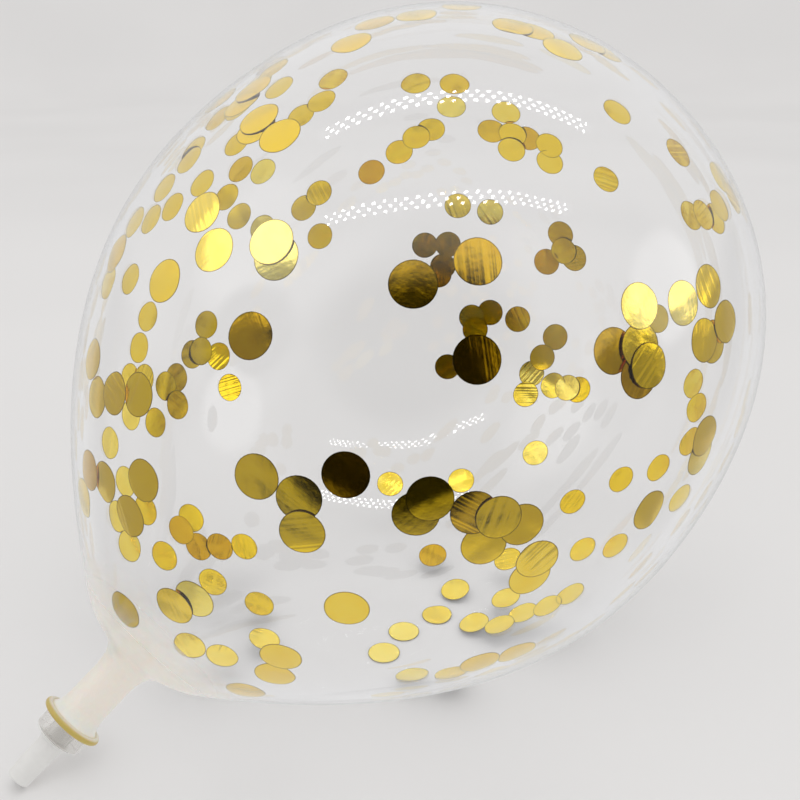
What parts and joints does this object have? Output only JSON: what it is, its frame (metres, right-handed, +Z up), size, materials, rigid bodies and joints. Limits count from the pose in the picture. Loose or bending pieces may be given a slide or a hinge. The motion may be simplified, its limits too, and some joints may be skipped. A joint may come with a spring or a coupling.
{
  "type": "clear confetti balloon",
  "caption": "Clear pear-shaped latex balloon lying on its side, gold foil dots inside, its neck stretched over a clear stopper with a frosted inflation tube.",
  "frame": {"origin": "on the floor, under the middle of the whole part as it lies", "axes": "+Z up; the balloon's long axis lies in the XZ plane and climbs 35 degrees from the valve tube's lip at -X to the crown at +X; +Y across"},
  "size_m": [0.37, 0.294, 0.3056],
  "materials": {
    "clear_latex": "glossy, clear on the body, milky ivory on the neck, yellowed at the rolled bead",
    "clear_plastic": "clear moulded plastic, slightly grey",
    "frosted_plastic": "frosted translucent plastic",
    "gold_foil": "mirror-bright gold foil on both sides, slightly creased"
  },
  "bodies": {
    "root": {"balloon": "clear_latex", "valve_stopper": "clear_plastic", "valve_tube": "frosted_plastic"}
  },
  "joints": []
}
